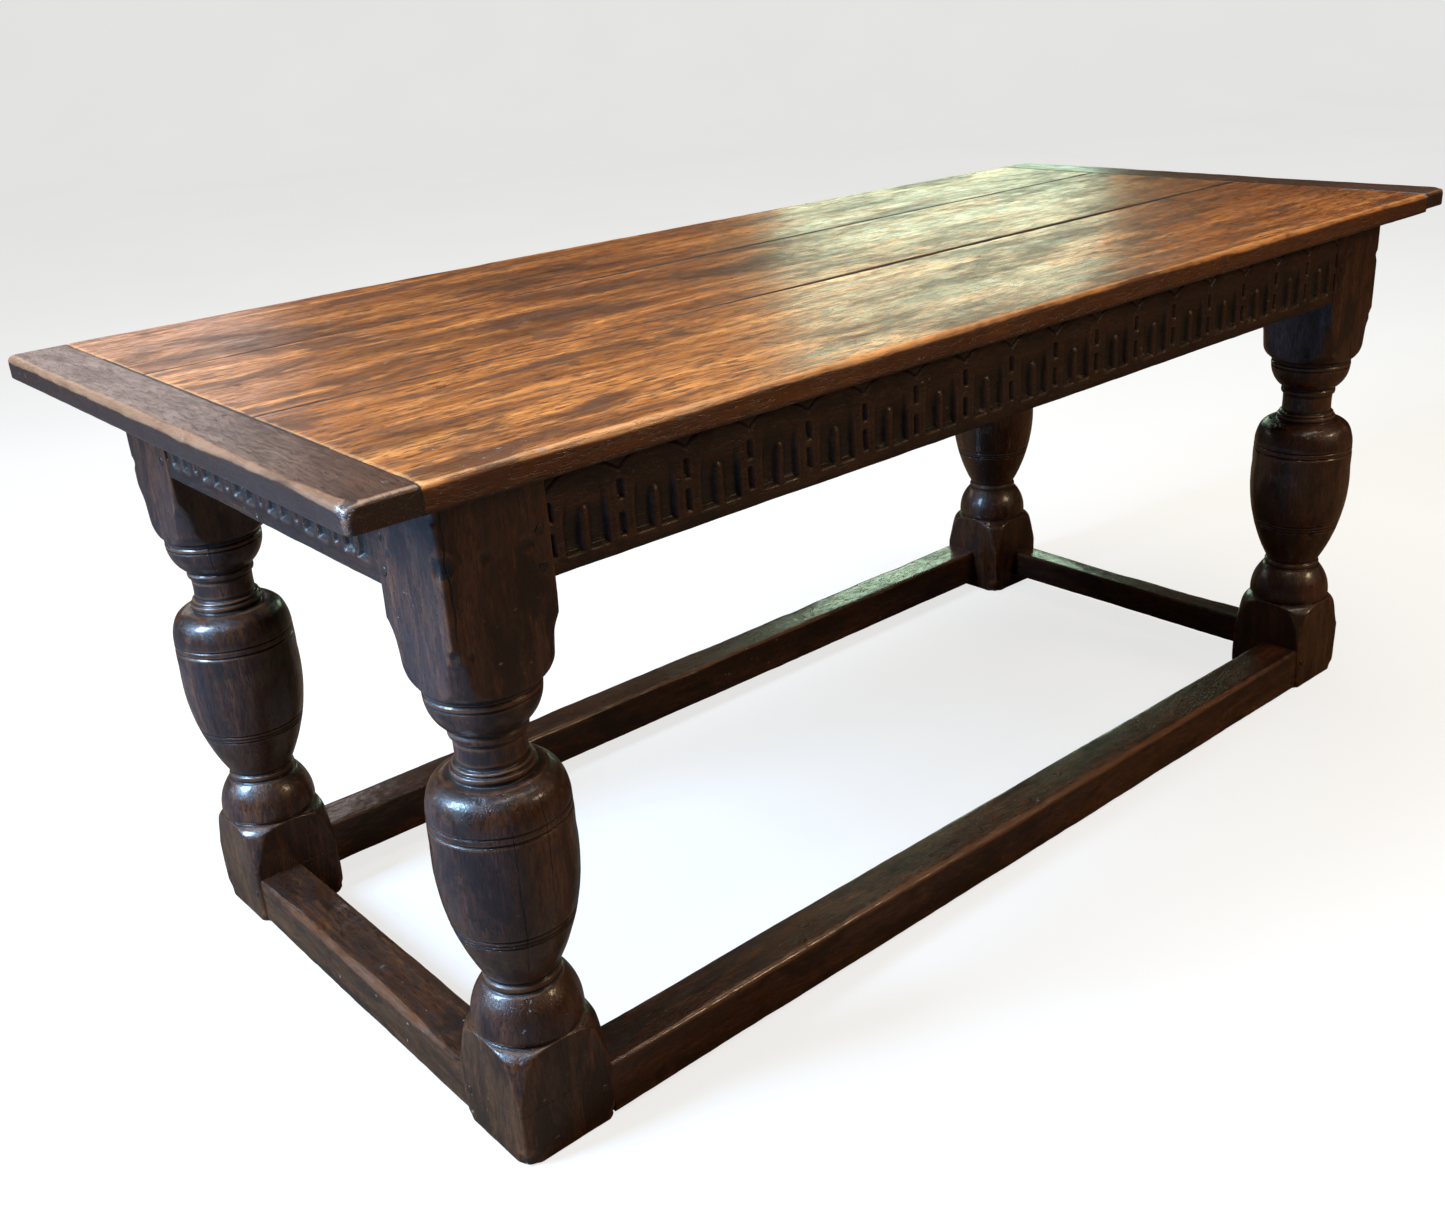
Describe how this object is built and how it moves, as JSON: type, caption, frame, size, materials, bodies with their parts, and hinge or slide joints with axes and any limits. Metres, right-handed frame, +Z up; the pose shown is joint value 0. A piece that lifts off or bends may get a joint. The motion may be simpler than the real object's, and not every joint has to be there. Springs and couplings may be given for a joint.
{
  "type": "communion table",
  "caption": "Joined oak communion table: cleated board top on turned legs, with carved frieze rails below the top and low stretchers near the floor.",
  "frame": {"origin": "on the floor, under the middle of the top's bounding box", "axes": "+X along the table's length, -Y the front, +Z up"},
  "size_m": [1.868, 0.86, 0.79],
  "materials": {
    "oak_top": "old oak, waxed to a soft sheen, golden brown with dark patina",
    "oak_cleat": "old oak, darker and greyer than the boards, waxed",
    "oak_frame": "old oak, very dark brown, polished by wear",
    "oak_peg": "end grain of dark oak"
  },
  "bodies": {
    "root": {"top_board_front": "oak_top", "top_board_middle": "oak_top", "top_board_back": "oak_top", "end_cleat_left": "oak_cleat", "end_cleat_right": "oak_cleat", "cleat_pegs": "oak_peg", "top_pegs": "oak_peg", "leg_front_left": "oak_frame", "leg_front_right": "oak_frame", "leg_back_left": "oak_frame", "leg_back_right": "oak_frame", "frieze_front": "oak_frame", "frieze_back": "oak_frame", "frieze_left": "oak_frame", "frieze_right": "oak_frame", "frieze_pegs": "oak_peg", "stretcher_front": "oak_frame", "stretcher_back": "oak_frame", "stretcher_left": "oak_frame", "stretcher_right": "oak_frame", "stretcher_pegs": "oak_peg"}
  },
  "joints": []
}
